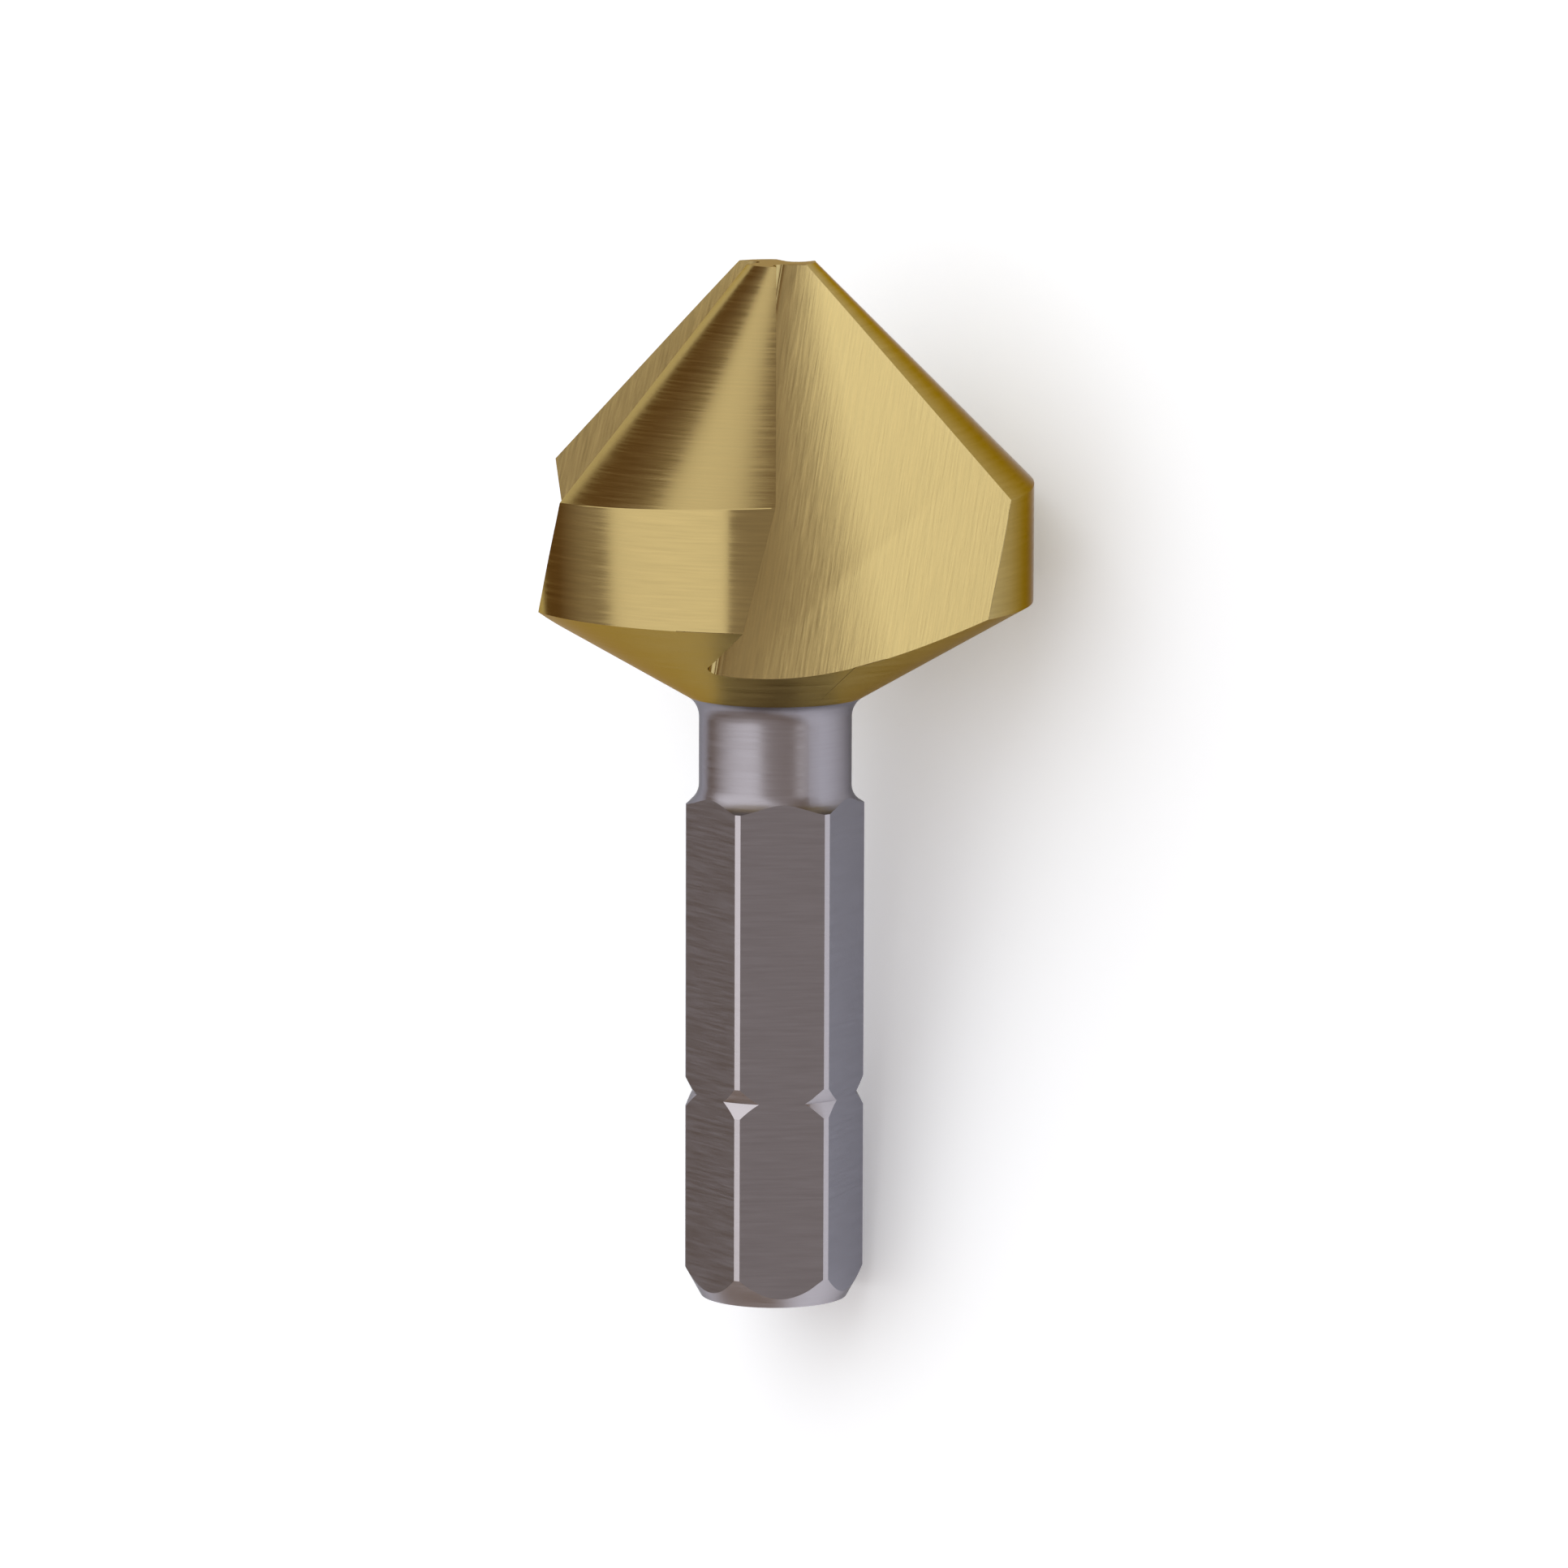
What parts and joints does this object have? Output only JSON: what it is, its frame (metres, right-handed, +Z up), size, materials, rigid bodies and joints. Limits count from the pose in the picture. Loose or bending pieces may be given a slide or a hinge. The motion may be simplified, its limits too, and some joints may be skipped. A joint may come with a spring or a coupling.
{
  "type": "countersink bit",
  "caption": "Right-hand countersink bit with a fluted 90 degree cone, a straight rim, a turned neck and a quarter-inch hex shank.",
  "frame": {"origin": "middle of the footprint of the bit as it lies at rest, on the surface it lies on", "axes": "+Z up from that surface, +Y towards the cone's tip, whose end is raised; the bit's own axis leans 11.1 degrees out of the surface"},
  "size_m": [0.0204, 0.0416, 0.0196],
  "materials": {
    "tool_steel": "ground high-speed steel, head and back taper gold titanium nitride coated, neck and shank bare grey steel"
  },
  "bodies": {
    "root": {"countersink_bit": "tool_steel"}
  },
  "joints": []
}
